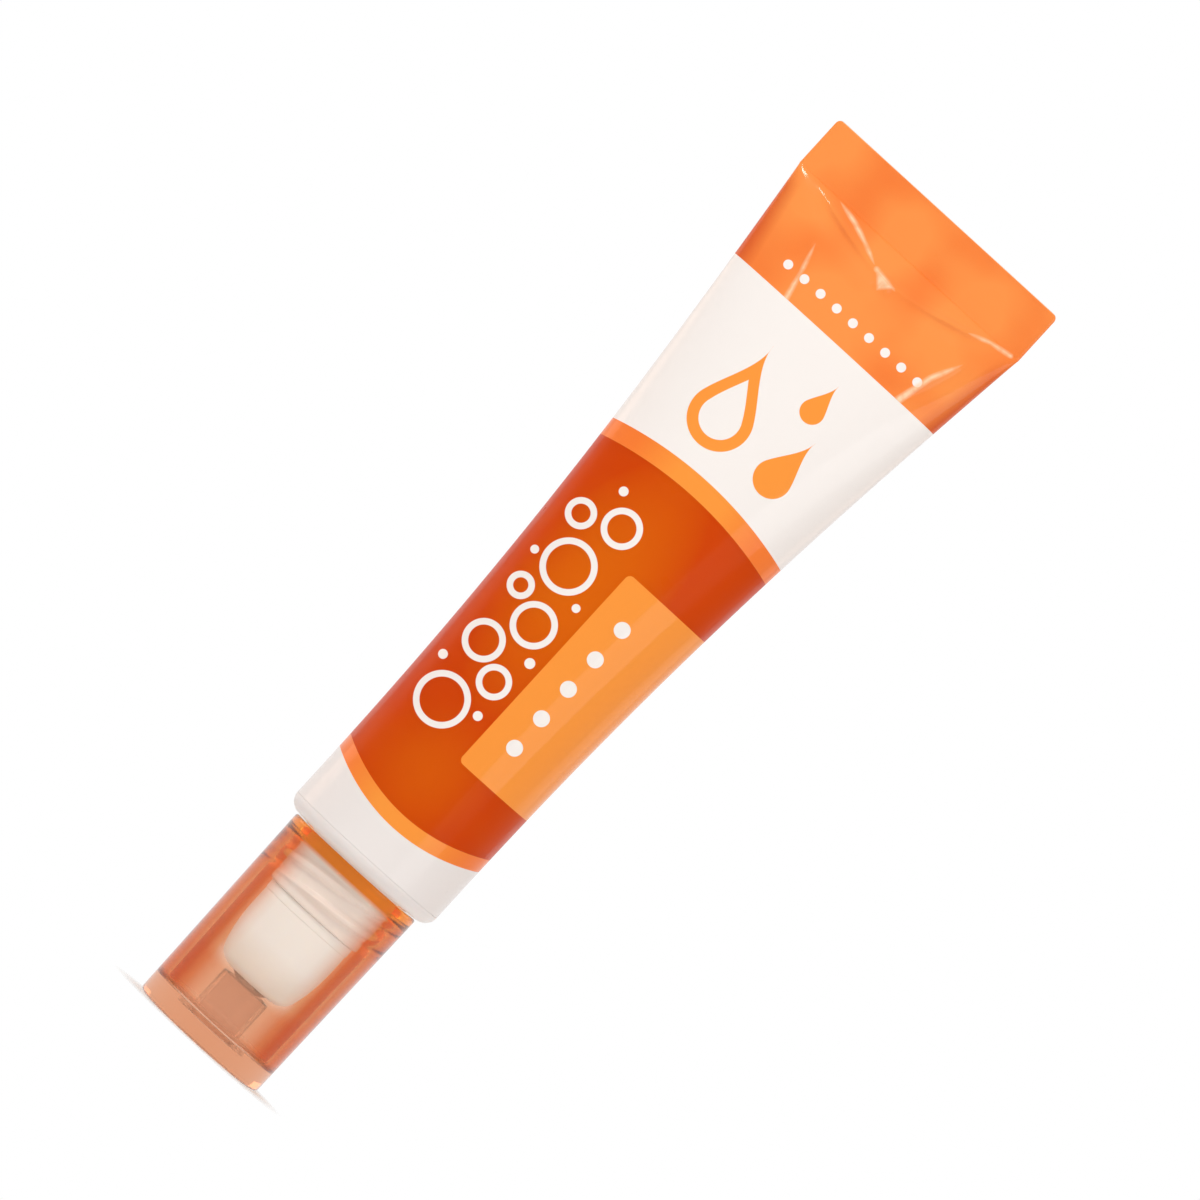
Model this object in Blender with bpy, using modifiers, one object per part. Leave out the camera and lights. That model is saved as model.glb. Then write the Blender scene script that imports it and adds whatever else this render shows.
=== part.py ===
"""Cuticle oil rollerball: a squeeze tube with a ball applicator under a clear screw cap.

The tube stands on its cap. +Z runs from the cap's closed end to the flat tail, X runs across
the tail's width and the front faces -Y. The origin is the centre of the cap's end face.
Lengths are in metres.
"""

import math

import bmesh
import bpy

MM = 0.001

# Ball and the socket that holds it
BALL_DIAMETER = 6.0 * MM
BALL_CLEARANCE = 0.1 * MM  # all round, so that the ball rolls
BALL_SHOWS = 1.0 * MM  # how far the ball stands out of the housing
BALL_HEADROOM = 4.4 * MM  # from the ball to the inside of the cap's end
TIP_WALL = 1.2 * MM
TIP_ROUND = 1.4 * MM

# Seat behind the ball
SEAT_ANGLE = math.radians(63)  # half the angle of ball that the seat's cup covers
SEAT_LEDGE = 0.6 * MM  # step in the housing that the seat rests on
SEAT_THICKNESS = 1.0 * MM  # above the middle of the cup
SEAT_HOLE = 1.8 * MM
CHANNEL_WIDTH = 0.9 * MM
CHANNEL_DEPTH = 0.7 * MM

# Housing, neck and head
HOUSING_LENGTH = 9.2 * MM  # from the tip to the collar's upper face
COLLAR_HEIGHT = 0.9 * MM
COLLAR_INSET = 0.4 * MM  # the collar lies this far inside the neck's outside
STEM_WALL = 0.7 * MM
NECK_WALL = 1.2 * MM
NECK_LENGTH = 6.6 * MM
NECK_CHAMFER = 0.3 * MM
SHOULDER_WALL = 1.3 * MM
SHOULDER_ROUND = 1.5 * MM
SHOULDER_LAND = 0.3 * MM  # least flat ring between the neck and the shoulder's round edge
SKIRT_WALL = 0.9 * MM
SKIRT_HEIGHT = 3.5 * MM

# Flow reducer
REDUCER_FLANGE = 0.8 * MM
REDUCER_DEPTH = 2.5 * MM  # of the plug below the flange
REDUCER_ORIFICE = 1.2 * MM
REDUCER_FUNNEL = 1.3 * MM  # depth of the funnel
REDUCER_LIP = 0.9 * MM  # wall left round the funnel's mouth

# Sleeve
TUBE_DIAMETER = 19.0 * MM
SLEEVE_LENGTH = 86.95 * MM
SLEEVE_WALL = 0.45 * MM
WELD_HEIGHT = 6.0 * MM
TAIL_CORNER = 0.6 * MM
FLATTENING = 0.68  # how soon the sleeve swells below the weld; smaller is sooner

# Oil
AIR_SPACE = 11.0 * MM  # from the weld down to the oil

# Cap
CAP_CLEARANCE = 1.1 * MM  # from the neck to the cap's bore, where the thread runs
CAP_WALL = 1.2 * MM
CAP_DRAFT = 0.25 * MM  # the closed end is this much smaller in radius than the mouth
CAP_END = 2.5 * MM
CAP_CORNER = 0.5 * MM
CAP_RIM_HEIGHT = 1.4 * MM
CAP_RIM_STEP = 0.25 * MM  # the rim inside the mouth stands this far into the bore
CAP_MOUTH_GAP = 0.3 * MM  # from the mouth to the shoulder

# Plug in the cap
PLUG_CLEARANCE = 0.2 * MM  # from its bore to the ball, at the housing's tip
PLUG_WALL = 0.5 * MM
PLUG_BASE = 0.6 * MM
PLUG_RECESS = 0.8 * MM  # depth of its recess in the cap's end
PLUG_SEAL_GAP = 0.2 * MM  # from its rim to the housing's tip

# Fits and smoothness
FIT = 0.2 * MM  # between pieces that are pressed or rest together
SLEEVE_FIT = 0.15 * MM
OIL_FIT = 0.3 * MM
TURN_STEPS = 48
SMALL_TURN_STEPS = 32
SLEEVE_SEGMENTS = 48
SLEEVE_STATIONS = 16

# Radii that follow from the sizes above, from the ball outwards
BALL_RADIUS = BALL_DIAMETER / 2
SOCKET_RADIUS = BALL_RADIUS + BALL_CLEARANCE
CUP_RADIUS = SOCKET_RADIUS + FIT / 4
STEM_BORE = SOCKET_RADIUS + SEAT_LEDGE
STEM_RADIUS = STEM_BORE + STEM_WALL
NECK_BORE = STEM_RADIUS + FIT
NECK_RADIUS = NECK_BORE + NECK_WALL
COLLAR_RADIUS = NECK_RADIUS - COLLAR_INSET
CAP_BORE = NECK_RADIUS + CAP_CLEARANCE
CAP_RADIUS = CAP_BORE + CAP_WALL
TUBE_RADIUS = TUBE_DIAMETER / 2
SKIRT_RADIUS = TUBE_RADIUS - SLEEVE_WALL - SLEEVE_FIT
SKIRT_BORE = SKIRT_RADIUS - SKIRT_WALL
PLUG_BORE = math.sqrt(BALL_RADIUS**2 - (BALL_RADIUS - BALL_SHOWS) ** 2) + PLUG_CLEARANCE
PLUG_RADIUS = PLUG_BORE + PLUG_WALL

# Heights that follow, from the cap's end upwards
BALL_Z = CAP_END + BALL_HEADROOM + BALL_RADIUS
TIP_Z = CAP_END + BALL_HEADROOM + BALL_SHOWS
SEAT_Z = BALL_Z + CUP_RADIUS * math.cos(SEAT_ANGLE)
LEDGE_Z = SEAT_Z - FIT
COLLAR_Z = TIP_Z + HOUSING_LENGTH
NECK_END_Z = COLLAR_Z + FIT
SHOULDER_Z = NECK_END_Z + NECK_LENGTH
SHOULDER_INSIDE_Z = SHOULDER_Z + SHOULDER_WALL
CAP_HEIGHT = SHOULDER_Z - CAP_MOUTH_GAP
FLANGE_Z = SHOULDER_INSIDE_Z - FIT - REDUCER_FLANGE
STEM_TOP_Z = FLANGE_Z - FIT
EDGE_ROUND = min(SHOULDER_ROUND, TUBE_RADIUS - NECK_RADIUS - SHOULDER_LAND)
EDGE_Z = SHOULDER_Z + EDGE_ROUND
SKIRT_TOP_Z = EDGE_Z + SKIRT_HEIGHT
SLEEVE_Z = EDGE_Z + SLEEVE_FIT
TAIL_Z = SLEEVE_Z + SLEEVE_LENGTH
WELD_Z = TAIL_Z - WELD_HEIGHT


def clear_scene():
    for ob in list(bpy.data.objects):
        bpy.data.objects.remove(ob, do_unlink=True)


def new_collection(name):
    collection = bpy.data.collections.new(name)
    bpy.context.scene.collection.children.link(collection)
    return collection


def plastic(name, colour, roughness, alpha=1.0, metallic=0.0):
    material = bpy.data.materials.new(name)
    material.use_nodes = True
    shader = material.node_tree.nodes["Principled BSDF"]
    shader.inputs["Base Color"].default_value = (*colour, 1)
    shader.inputs["Roughness"].default_value = roughness
    shader.inputs["Metallic"].default_value = metallic
    shader.inputs["Alpha"].default_value = alpha
    return material


def add_object(name, mesh, collection, material=None, z=0.0):
    ob = bpy.data.objects.new(name, mesh)
    ob.location.z = z
    if material:
        mesh.materials.append(material)
    collection.objects.link(ob)
    return ob


def arc(centre_r, centre_z, radius, start, end, steps):
    """Points of an arc in the profile plane. Angles in degrees, 0 outwards and 90 up."""
    angles = [start + (end - start) * i / steps for i in range(steps + 1)]
    return [
        (centre_r + radius * math.cos(math.radians(a)), centre_z + radius * math.sin(math.radians(a)))
        for a in angles
    ]


def turned(name, profile, collection, material, z=0.0, steps=TURN_STEPS, closed=False):
    """Turns a profile of radius and height about Z. A closed profile makes a ring."""
    mesh = bpy.data.meshes.new(name)
    points = [(r, 0.0, height) for r, height in profile]
    edges = [(i, i + 1) for i in range(len(points) - 1)]
    if closed:
        edges.append((len(points) - 1, 0))
    mesh.from_pydata(points, edges, [])
    ob = add_object(name, mesh, collection, material, z)
    screw = ob.modifiers.new("Turn", "SCREW")
    screw.axis = "Z"
    screw.angle = math.tau
    screw.steps = steps
    screw.render_steps = steps
    screw.use_merge_vertices = True
    screw.merge_threshold = 0.001 * MM
    screw.use_smooth_shade = True
    return ob


def soften(ob):
    """Lets the wide faces set the shading, so that flat ends look flat."""
    ob.modifiers.new("Shading", "WEIGHTED_NORMAL")


def cut(ob, cutter):
    cutter.hide_render = True
    cutter.display_type = "WIRE"
    boolean = ob.modifiers.new("Cut " + cutter.name, "BOOLEAN")
    boolean.operation = "DIFFERENCE"
    boolean.solver = "EXACT"
    boolean.object = cutter


# Sleeve sections. The film keeps its length round the tube, so it widens as it flattens.


def depth_share(z):
    """1 where the tube is round, 0 at the weld."""
    along = (WELD_Z - z) / (WELD_Z - SKIRT_TOP_Z)
    along = min(max(along, 0.0), 1.0)
    return math.sin(math.pi / 2 * along**FLATTENING)


def around(half_width, half_depth):
    """Length round an ellipse."""
    total = half_width + half_depth
    root = math.sqrt((3 * half_width + half_depth) * (half_width + 3 * half_depth))
    return math.pi * (3 * total - root)


def width_for(half_depth):
    """The half width that keeps the film's length round the tube."""
    low = TUBE_RADIUS
    high = 2 * TUBE_RADIUS
    for _ in range(40):
        middle = (low + high) / 2
        if around(middle, half_depth) < math.tau * TUBE_RADIUS:
            low = middle
        else:
            high = middle
    return (low + high) / 2


def section(z, inset):
    """Half width, half depth and squareness of the sleeve's section, inset from its outside."""
    share = depth_share(z)
    half_depth = SLEEVE_WALL + (TUBE_RADIUS - SLEEVE_WALL) * share
    half_width = TUBE_RADIUS if share == 1.0 else width_for(half_depth)
    squareness = 2.0 + 4.0 * (1.0 - share) ** 6
    return half_width - inset, half_depth - inset, squareness


def ring(bm, z, half_width, half_depth, squareness=2.0, points=SLEEVE_SEGMENTS):
    """A ring of vertices on a round or squared-off ellipse."""
    power = 2.0 / squareness
    vertices = []
    for i in range(points):
        angle = math.tau * i / points
        x = math.copysign(abs(math.cos(angle)) ** power, math.cos(angle)) * half_width
        y = math.copysign(abs(math.sin(angle)) ** power, math.sin(angle)) * half_depth
        vertices.append(bm.verts.new((x, y, z)))
    return vertices


def skin(bm, rings):
    """Joins rings in order and closes both ends."""
    for lower, upper in zip(rings, rings[1:]):
        count = len(lower)
        for i in range(count):
            j = (i + 1) % count
            bm.faces.new((lower[i], lower[j], upper[j], upper[i]))
    bm.faces.new(rings[0][::-1])
    bm.faces.new(rings[-1])


def loft(name, collection, material, sections, z):
    """A closed solid through sections of height, half width, half depth and squareness."""
    bm = bmesh.new()
    rings = [ring(bm, height - z, *shape) for height, *shape in sections]
    skin(bm, rings)
    mesh = bpy.data.meshes.new(name)
    bm.to_mesh(mesh)
    bm.free()
    mesh.shade_smooth()
    mesh.set_sharp_from_angle(angle=math.radians(40))
    return add_object(name, mesh, collection, material, z)


def flattening_heights():
    """Heights from the skirt's top to the weld, closer together towards the weld."""
    shares = [i / SLEEVE_STATIONS for i in range(SLEEVE_STATIONS + 1)]
    return [WELD_Z - (WELD_Z - SKIRT_TOP_Z) * (1 - share) ** 1.5 for share in shares]


# Pieces


def make_sleeve(parts):
    """Thin film, open round the head and welded flat at the tail."""
    material = plastic("sleeve film", (0.94, 0.30, 0.07), 0.32)
    heights = flattening_heights()
    inside = [(z, *section(z, SLEEVE_WALL)) for z in [SLEEVE_Z, *heights[:-1]]]
    outside = [(z, *section(z, 0.0)) for z in [SLEEVE_Z, *heights]]
    half_width, half_depth, squareness = section(TAIL_Z, 0.0)
    corners = arc(half_width - TAIL_CORNER, TAIL_Z - TAIL_CORNER, TAIL_CORNER, 0, 90, steps=3)
    outside += [(z, x, half_depth, squareness) for x, z in corners]
    return loft("tube_sleeve", parts, material, inside[::-1] + outside, SLEEVE_Z)


def make_head(parts):
    """Shoulder, neck and skirt in one moulding. Heights are from the shoulder's face."""
    material = plastic("head white", (0.86, 0.78, 0.74), 0.4)
    neck_end = NECK_END_Z - SHOULDER_Z
    edge = EDGE_Z - SHOULDER_Z
    skirt_top = SKIRT_TOP_Z - SHOULDER_Z
    inner_round = max(EDGE_ROUND - SHOULDER_WALL, FIT)
    inner_round = min(inner_round, SKIRT_BORE - NECK_BORE)
    profile = [(SKIRT_RADIUS, skirt_top), (SKIRT_RADIUS, edge)]
    profile += arc(TUBE_RADIUS - EDGE_ROUND, edge, EDGE_ROUND, 0, -90, steps=6)
    profile += [
        (NECK_RADIUS, 0.0),
        (NECK_RADIUS, neck_end + NECK_CHAMFER),
        (NECK_RADIUS - NECK_CHAMFER, neck_end),
        (NECK_BORE, neck_end),
        (NECK_BORE, SHOULDER_WALL),
    ]
    profile += arc(SKIRT_BORE - inner_round, SHOULDER_WALL + inner_round, inner_round, -90, 0, steps=4)
    profile.append((SKIRT_BORE, skirt_top))
    return turned("tube_head", profile, parts, material, SHOULDER_Z, closed=True)


def make_reducer(parts):
    """Flanged plug with a funnel and a small orifice. Heights are from under its flange."""
    material = plastic("reducer natural", (0.8, 0.78, 0.74), 0.35)
    plug_radius = STEM_BORE - FIT
    orifice = REDUCER_ORIFICE / 2
    profile = [
        (STEM_RADIUS, REDUCER_FLANGE),
        (STEM_RADIUS, 0.0),
        (plug_radius, 0.0),
        (plug_radius, NECK_CHAMFER - REDUCER_DEPTH),
        (plug_radius - NECK_CHAMFER, -REDUCER_DEPTH),
        (orifice, -REDUCER_DEPTH),
        (orifice, REDUCER_FLANGE - REDUCER_FUNNEL),
        (plug_radius - REDUCER_LIP, REDUCER_FLANGE),
    ]
    return turned("flow_reducer", profile, parts, material, FLANGE_Z, SMALL_TURN_STEPS, True)


def make_housing(parts):
    """Tapered nose with the ball's socket, a collar and a stem. Heights are from its tip."""
    material = plastic("housing white", (0.84, 0.72, 0.64), 0.38)
    tip_radius = SOCKET_RADIUS + TIP_WALL
    ball = BALL_Z - TIP_Z
    ledge = LEDGE_Z - TIP_Z
    collar_low = HOUSING_LENGTH - COLLAR_HEIGHT
    lip_angle = math.degrees(math.asin(-ball / SOCKET_RADIUS))
    profile = [
        (STEM_RADIUS, STEM_TOP_Z - TIP_Z),
        (STEM_RADIUS, HOUSING_LENGTH),
        (COLLAR_RADIUS, HOUSING_LENGTH),
        (COLLAR_RADIUS, collar_low),
    ]
    for i in range(1, 7):
        share = i / 7
        height = collar_low + (TIP_ROUND - collar_low) * share
        profile.append((COLLAR_RADIUS + (tip_radius - COLLAR_RADIUS) * share**1.25, height))
    profile += arc(tip_radius - TIP_ROUND, TIP_ROUND, TIP_ROUND, 0, -90, steps=5)
    profile += arc(0.0, ball, SOCKET_RADIUS, lip_angle, 0, steps=7)
    profile += [
        (SOCKET_RADIUS, ledge),
        (STEM_BORE, ledge),
        (STEM_BORE, STEM_TOP_Z - TIP_Z),
    ]
    return turned("roller_housing", profile, parts, material, TIP_Z, closed=True)


def make_seat(parts, cutters):
    """Cup behind the ball with a centre hole and crossed oil channels."""
    material = plastic("seat natural", (0.78, 0.76, 0.72), 0.35)
    radius = STEM_BORE - FIT
    hole = SEAT_HOLE / 2
    ball = BALL_Z - SEAT_Z
    top = ball + CUP_RADIUS + SEAT_THICKNESS
    start = 90 - math.degrees(SEAT_ANGLE)
    end = math.degrees(math.acos(hole / CUP_RADIUS))
    profile = [(radius, top), (radius, 0.0)]
    profile += arc(0.0, ball, CUP_RADIUS, start, end, steps=6)
    profile.append((hole, top))
    seat = turned("ball_seat", profile, parts, material, SEAT_Z, SMALL_TURN_STEPS, True)
    channel_height = 2 * CHANNEL_DEPTH
    for name, turn in (("channel_a", 0.0), ("channel_b", math.pi / 2)):
        bm = bmesh.new()
        bmesh.ops.create_cube(bm, size=1.0)
        bmesh.ops.scale(bm, verts=bm.verts, vec=(3 * radius, CHANNEL_WIDTH, channel_height))
        mesh = bpy.data.meshes.new(name)
        bm.to_mesh(mesh)
        bm.free()
        cutter = add_object(name, mesh, cutters, None, SEAT_Z)
        cutter.rotation_euler.z = turn
        cut(seat, cutter)
    return seat


def make_ball(parts):
    """Steel ball, with its origin at its centre."""
    material = plastic("ball steel", (0.62, 0.6, 0.58), 0.12, metallic=1.0)
    bm = bmesh.new()
    bmesh.ops.create_uvsphere(bm, u_segments=32, v_segments=20, radius=BALL_RADIUS)
    mesh = bpy.data.meshes.new("roller_ball")
    bm.to_mesh(mesh)
    bm.free()
    mesh.shade_smooth()
    return add_object("roller_ball", mesh, parts, material, BALL_Z)


def make_cap(parts):
    """Clear cap: thick flat end with the plug's recess, a drafted wall and a rim at the mouth."""
    material = plastic("cap clear orange", (0.9, 0.28, 0.06), 0.08, alpha=0.45)
    end_bore = CAP_BORE - CAP_DRAFT
    end_radius = CAP_RADIUS - CAP_DRAFT
    rim_z = CAP_HEIGHT - CAP_RIM_HEIGHT
    recess_z = CAP_END - PLUG_RECESS
    lead_in = CAP_RIM_STEP
    profile = [(0.0, recess_z), (PLUG_RADIUS + FIT, recess_z), (PLUG_RADIUS + FIT, CAP_END)]
    profile += arc(end_bore - CAP_CORNER, CAP_END + CAP_CORNER, CAP_CORNER, -90, 0, steps=3)
    profile += [
        (CAP_BORE, rim_z),
        (CAP_BORE - CAP_RIM_STEP, rim_z + lead_in),
        (CAP_BORE - CAP_RIM_STEP, CAP_HEIGHT - lead_in),
        (CAP_BORE, CAP_HEIGHT),
        (CAP_RADIUS - lead_in, CAP_HEIGHT),
        (CAP_RADIUS, CAP_HEIGHT - lead_in),
    ]
    profile += arc(end_radius - CAP_CORNER, CAP_CORNER, CAP_CORNER, 0, -90, steps=4)
    profile.append((0.0, 0.0))
    return turned("cap_shell", profile, parts, material)


def make_plug(parts):
    """Small cup in the cap's end. Its round rim closes on the housing's tip, round the ball."""
    material = plastic("plug soft", (0.8, 0.42, 0.3), 0.3, alpha=0.7)
    bottom = CAP_END - PLUG_RECESS + FIT
    rim_round = PLUG_WALL / 2
    rim = TIP_Z - PLUG_SEAL_GAP - bottom - rim_round
    profile = [(0.0, PLUG_BASE), (PLUG_BORE, PLUG_BASE)]
    profile += arc(PLUG_BORE + rim_round, rim, rim_round, 180, 0, steps=6)
    profile += [(PLUG_RADIUS, 0.0), (0.0, 0.0)]
    return turned("cap_plug", profile, parts, material, bottom, SMALL_TURN_STEPS)


def make_oil(parts):
    """The oil, clear of the head and the sleeve, up to its level below the weld."""
    material = plastic("oil", (0.75, 0.22, 0.02), 0.1, alpha=0.8)
    bottom = SHOULDER_INSIDE_Z + OIL_FIT
    in_head = SKIRT_BORE - OIL_FIT
    above_skirt = SKIRT_TOP_Z + OIL_FIT
    level = WELD_Z - AIR_SPACE
    inset = SLEEVE_WALL + OIL_FIT
    heights = [above_skirt] + [z for z in flattening_heights() if above_skirt + OIL_FIT < z < level]
    sections = [
        (bottom, in_head - (EDGE_Z - SHOULDER_Z) / 2, in_head - (EDGE_Z - SHOULDER_Z) / 2),
        (EDGE_Z + OIL_FIT, in_head, in_head),
        (above_skirt, in_head, in_head),
    ]
    sections += [(z, *section(z, inset)) for z in [*heights, level]]
    return loft("oil_fill", parts, material, sections, bottom)


def main():
    clear_scene()
    parts = new_collection("Cuticle oil rollerball")
    cutters = new_collection("Cutters")
    make_sleeve(parts)
    turned_pieces = [
        make_head(parts),
        make_reducer(parts),
        make_housing(parts),
        make_seat(parts, cutters),
        make_cap(parts),
        make_plug(parts),
    ]
    for piece in turned_pieces:
        soften(piece)
    make_ball(parts)
    make_oil(parts)


main()
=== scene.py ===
import math

import bmesh
import bpy
import numpy as np
from mathutils import Matrix, Vector


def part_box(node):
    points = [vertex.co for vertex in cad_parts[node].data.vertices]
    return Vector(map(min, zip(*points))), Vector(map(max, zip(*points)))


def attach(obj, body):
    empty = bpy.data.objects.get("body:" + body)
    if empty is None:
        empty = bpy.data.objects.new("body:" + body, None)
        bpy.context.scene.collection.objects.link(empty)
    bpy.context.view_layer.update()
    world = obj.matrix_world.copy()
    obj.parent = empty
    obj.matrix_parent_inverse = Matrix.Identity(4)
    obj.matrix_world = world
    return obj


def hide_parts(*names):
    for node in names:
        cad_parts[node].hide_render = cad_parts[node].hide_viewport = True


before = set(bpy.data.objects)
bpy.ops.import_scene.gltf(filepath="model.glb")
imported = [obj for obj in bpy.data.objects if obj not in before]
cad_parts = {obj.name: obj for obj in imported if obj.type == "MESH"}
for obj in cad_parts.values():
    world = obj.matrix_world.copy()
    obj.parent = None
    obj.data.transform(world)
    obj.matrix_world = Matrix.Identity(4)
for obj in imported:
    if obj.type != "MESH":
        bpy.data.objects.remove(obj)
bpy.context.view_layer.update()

# The sleeve is soft plastic tube, printed, varnished and cut to length. The head is welded into
# its round end. After filling, the other end is pressed flat and welded shut. The film can't
# stretch, so it widens as it flattens, and it creases where the flat weld begins.
MM = 0.001
sleeve_low, sleeve_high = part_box("tube_sleeve")
TUBE_RADIUS = sleeve_high.y
SLEEVE_END_Z = sleeve_low.z - 0.14 * MM
ROUND_UP_TO_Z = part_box("tube_head")[1].z
TAIL_Z = sleeve_high.z
TAIL_CORNER = 0.6 * MM
WELD_Z = TAIL_Z - 6.0 * MM
FILM = 0.45 * MM
OPENING_POWER = 0.68
ROUND = 2.0
FLATTENED = 6.0
FILM_POINTS = 360
OUTLINE_STEPS = 2880
LINING_STEP = 4
CREASED_FROM_Z = 84.0 * MM
FINEST_FROM_Z = 93.0 * MM
FINEST_TO_Z = 107.5 * MM


def film_section(z):
    """Half width, half depth and squareness of the sleeve's outside at a height."""
    along = (WELD_Z - z) / (WELD_Z - ROUND_UP_TO_Z)
    share = math.sin(math.pi / 2 * min(max(along, 0.0), 1.0) ** OPENING_POWER)
    depth = FILM + (TUBE_RADIUS - FILM) * share
    low, high = TUBE_RADIUS, 2 * TUBE_RADIUS
    for _ in range(40):
        width = (low + high) / 2
        root = math.sqrt((3 * width + depth) * (width + 3 * depth))
        if 3 * (width + depth) - root < 2 * TUBE_RADIUS:
            low = width
        else:
            high = width
    if share == 1.0:
        width = TUBE_RADIUS
    return width, depth, ROUND + (FLATTENED - ROUND) * (1.0 - share) ** 6


def film_ring(width, depth, squareness):
    """Points spaced evenly along the film, from the middle of the back, seen from above."""
    angles = np.linspace(0.0, math.tau, OUTLINE_STEPS + 1) + math.pi / 2
    power = 2.0 / squareness
    x = np.sign(np.cos(angles)) * np.abs(np.cos(angles)) ** power * width
    y = np.sign(np.sin(angles)) * np.abs(np.sin(angles)) ** power * depth
    steps = np.hypot(np.diff(x), np.diff(y))
    travelled = np.concatenate([[0.0], np.cumsum(steps)])
    wanted = np.arange(FILM_POINTS) / FILM_POINTS * travelled[-1]
    return np.interp(wanted, travelled, x), np.interp(wanted, travelled, y)


# The creases' places and heights are in mm, across from the tube's middle and up from the cap's
# end. A side crease has its side, foot, top and height.
WELD_FOLD_Z = 103.35
SIDE_CREASES = ((-1, (6.0, 95.45), (8.3, 101.45), 0.26), (1, (8.1, 95.05), (11.2, 102.85), 0.34))
CREST_WIDTH = 0.36
DIP_WIDTH = 0.7
POINT_HEIGHT = 0.42


def fold(distance, width):
    return np.exp(-((distance / width) ** 2))


def creases(x, z, width):
    """How far the film stands out near the weld, in mm. Places are in mm too."""
    out = np.abs(x)
    above = z - WELD_FOLD_Z - 3.3 * np.minimum(out / 14.0, 1.0) ** 1.4
    strength = (0.35 + 0.65 * fold(out - 7.5, 3.4)) * np.clip((12.4 - out) / 2.6, 0.0, 1.0)
    rise = strength * (0.34 * fold(above, CREST_WIDTH) - 0.2 * fold(above + 1.0, DIP_WIDTH))
    for side, foot, top, height in SIDE_CREASES:
        run = np.subtract(top, foot)
        length = np.hypot(*run)
        run = run / length
        along = (x * side - foot[0]) * run[0] + (z - foot[1]) * run[1]
        across = (x * side - foot[0]) * run[1] - (z - foot[1]) * run[0]
        bow = np.sin(math.pi * np.clip(along / length, 0.0, 1.0))
        rise += height * fold(across, CREST_WIDTH) * bow**0.7
        rise -= 0.5 * height * fold(across - 0.9, DIP_WIDTH) * bow
    off_point = np.abs(x + 0.3)
    point = np.maximum(off_point * 1.1, (WELD_FOLD_Z - z) * 0.9)
    point = np.maximum(point, (z - WELD_FOLD_Z) * 1.6 + off_point * 0.4)
    rise += POINT_HEIGHT * np.clip(1.0 - point / 1.2, 0.0, 1.0)
    return rise * np.clip((width - out) / 1.6, 0.0, 1.0) ** 2


def finished_mesh(name, points, faces, sharp_over=38):
    """A closed mesh with its faces outwards, smooth apart from edges sharper than the angle."""
    mesh = bpy.data.meshes.new(name)
    mesh.from_pydata(points, [], faces)
    shape = bmesh.new()
    shape.from_mesh(mesh)
    if shape.calc_volume(signed=True) < 0:
        bmesh.ops.reverse_faces(shape, faces=shape.faces)
    shape.to_mesh(mesh)
    shape.free()
    mesh.shade_smooth()
    mesh.set_sharp_from_angle(angle=math.radians(sharp_over))
    return mesh


def film_mesh(name, rings):
    """A closed skin over rings of equal point counts, each a pair of x and y lists and a height."""
    count = FILM_POINTS
    points = [np.column_stack([x, y, np.full(count, z)]) for x, y, z in rings]
    last = (len(rings) - 1) * count
    faces = []
    for low in range(0, last, count):
        for i in range(count):
            j = (i + 1) % count
            faces.append((low + i, low + j, low + count + j, low + count + i))
    faces.append(tuple(range(count))[::-1])
    faces.append(tuple(range(last, last + count)))
    return finished_mesh(name, np.concatenate(points).tolist(), faces)


def add_piece(mesh, body, slot, *nodes):
    """Puts a finished mesh in the scene, on its body, in place of its CAD nodes."""
    piece = bpy.data.objects.new(mesh.name, mesh)
    bpy.context.scene.collection.objects.link(piece)
    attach(piece, body)
    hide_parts(*nodes)


def make_sleeve():
    """The film's outside from the shoulder to the cut tail, and its lining up to below the weld."""
    heights = [SLEEVE_END_Z + 0.015 * MM]
    heights += list(np.arange(SLEEVE_END_Z + 0.1 * MM, CREASED_FROM_Z, 0.9 * MM))
    heights += list(np.arange(CREASED_FROM_Z, FINEST_FROM_Z, 0.25 * MM))
    heights += list(np.arange(FINEST_FROM_Z, FINEST_TO_Z, 0.13 * MM))
    heights += list(np.arange(FINEST_TO_Z, TAIL_Z - TAIL_CORNER, 0.3 * MM))
    outside = []
    for z in heights:
        width, depth, squareness = film_section(z)
        x, y = film_ring(width, depth, squareness)
        if z > CREASED_FROM_Z:
            seen_from = np.where(y < 0, 1.0, -1.0)
            rise = creases(x * seen_from / MM, z / MM, width / MM) * MM
            flat_share = np.clip(np.abs(y) / depth, 0.0, 1.0) ** 3
            y = y + np.sign(y) * rise * flat_share
        outside.append((x, y, z))
    width, depth, squareness = film_section(TAIL_Z)
    for angle in np.radians(np.linspace(5, 90, 8)):
        corner_x = width - TAIL_CORNER + TAIL_CORNER * math.cos(angle)
        corner_z = TAIL_Z - TAIL_CORNER + TAIL_CORNER * math.sin(angle)
        edge = depth - 0.12 * MM * max(0.0, 1 - (TAIL_Z - corner_z) / (0.08 * MM))
        outside.append((*film_ring(corner_x, edge, squareness), corner_z))
    lining = []
    for z in [SLEEVE_END_Z, *heights[::LINING_STEP]]:
        if z < WELD_Z - 7.0 * MM:
            width, depth, squareness = film_section(z)
            lining.append((*film_ring(width - FILM, depth - FILM, squareness), z))
    rim_width = film_section(SLEEVE_END_Z)[0] - 0.02 * MM
    rim = (*film_ring(rim_width, rim_width, ROUND), SLEEVE_END_Z)
    mesh = film_mesh("printed_sleeve", [*lining[::-1], rim, *outside])
    lining_end = (len(lining) - 1) * FILM_POINTS
    inside = np.zeros(len(mesh.polygons), dtype=np.int32)
    for face in mesh.polygons:
        inside[face.index] = int(min(face.vertices) < lining_end)
    mesh.polygons.foreach_set("material_index", inside)
    return mesh


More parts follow.
